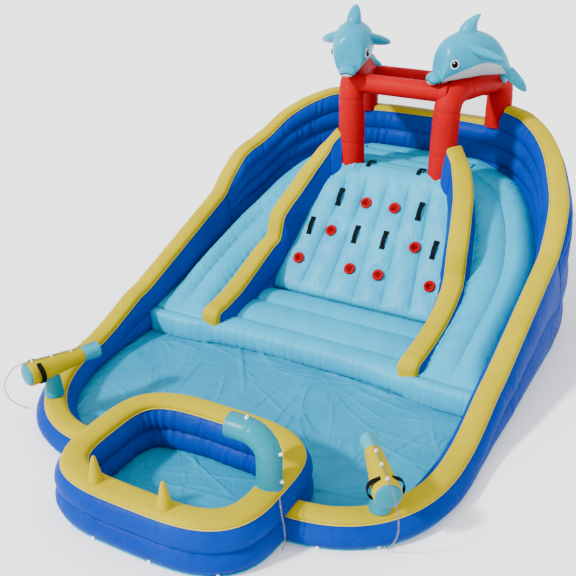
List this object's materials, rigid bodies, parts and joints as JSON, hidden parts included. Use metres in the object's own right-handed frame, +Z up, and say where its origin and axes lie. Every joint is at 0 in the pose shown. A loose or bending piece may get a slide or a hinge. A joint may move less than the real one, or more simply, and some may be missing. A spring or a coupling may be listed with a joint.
{
  "type": "inflatable water slide",
  "caption": "Inflatable water slide: curved slides either side of a climbing wall, over a main pool and a small splash pool, with arches, dolphins and water cannons.",
  "frame": {"origin": "on the ground, in the middle of the front edge of the steps at the slides' ends", "axes": "+X right seen from the front, +Y to the back, +Z up"},
  "size_m": [3.668, 5.8314, 2.7322],
  "materials": {
    "cyan_vinyl": "satin coated fabric",
    "blue_vinyl": "satin coated fabric",
    "yellow_vinyl": "satin coated fabric",
    "red_vinyl": "satin coated fabric",
    "turquoise_vinyl": "satin coated fabric",
    "dolphin_vinyl": "satin coated fabric",
    "webbing": "woven black webbing",
    "netting": "knotless white net",
    "hose": "white hose"
  },
  "bodies": {
    "base": {"ground_sheet": "cyan_vinyl", "platform": "cyan_vinyl", "climbing_wall": "cyan_vinyl", "landing_tube": "cyan_vinyl", "landing_mat": "cyan_vinyl", "left_slide": "cyan_vinyl", "right_slide": "cyan_vinyl", "small_pool_wall": "blue_vinyl", "left_wall": "blue_vinyl", "right_wall": "blue_vinyl", "left_tower_wall": "blue_vinyl", "right_tower_wall": "blue_vinyl", "back_wall": "blue_vinyl", "left_divider": "blue_vinyl", "right_divider": "blue_vinyl", "inflation_sleeve": "blue_vinyl", "small_pool_rim": "yellow_vinyl", "left_wall_cap": "yellow_vinyl", "right_wall_cap": "yellow_vinyl", "back_wall_cap": "yellow_vinyl", "left_divider_cap": "yellow_vinyl", "right_divider_cap": "yellow_vinyl", "rim_cone_1": "yellow_vinyl", "rim_cone_2": "yellow_vinyl", "left_arch": "red_vinyl", "right_arch": "red_vinyl", "front_beam": "red_vinyl", "rear_beam": "red_vinyl", "back_net": "netting", "left_dolphin": "dolphin_vinyl", "left_dolphin_inner_flipper": "dolphin_vinyl", "left_dolphin_outer_flipper": "dolphin_vinyl", "left_cannon_post": "turquoise_vinyl", "left_edge_strap": "webbing", "left_cannon_hose": "hose", "right_dolphin": "dolphin_vinyl", "right_dolphin_inner_flipper": "dolphin_vinyl", "right_dolphin_outer_flipper": "dolphin_vinyl", "right_cannon_post": "turquoise_vinyl", "right_edge_strap": "webbing", "right_cannon_hose": "hose", "elbow_hose": "hose", "spray_elbow": "turquoise_vinyl", "climbing_strap_1": "webbing", "climbing_strap_2": "webbing", "climbing_strap_3": "webbing", "climbing_strap_4": "webbing", "climbing_strap_5": "webbing", "climbing_strap_6": "webbing"},
    "left_cannon": {"left_cannon_barrel": "yellow_vinyl", "left_cannon_nozzle": "turquoise_vinyl", "left_cannon_rear_cap": "turquoise_vinyl", "left_cannon_left_handle": "webbing", "left_cannon_right_handle": "webbing"},
    "right_cannon": {"right_cannon_barrel": "yellow_vinyl", "right_cannon_nozzle": "turquoise_vinyl", "right_cannon_rear_cap": "turquoise_vinyl", "right_cannon_left_handle": "webbing", "right_cannon_right_handle": "webbing"}
  },
  "joints": [
    {"name": "left_cannon_turn", "type": "hinge", "parent": "base", "child": "left_cannon", "pos_m": [-1.345, -1.5136, 0.36], "axis": [0, 0, 1], "range_deg": [-25, 25], "stiffness_Nm_per_rad": 8, "deforming": ["left_cannon_hose"]},
    {"name": "right_cannon_turn", "type": "hinge", "parent": "base", "child": "right_cannon", "pos_m": [1.44, -1.5542, 0.36], "axis": [0, 0, 1], "range_deg": [-25, 25], "stiffness_Nm_per_rad": 8, "deforming": ["right_cannon_hose"]}
  ]
}
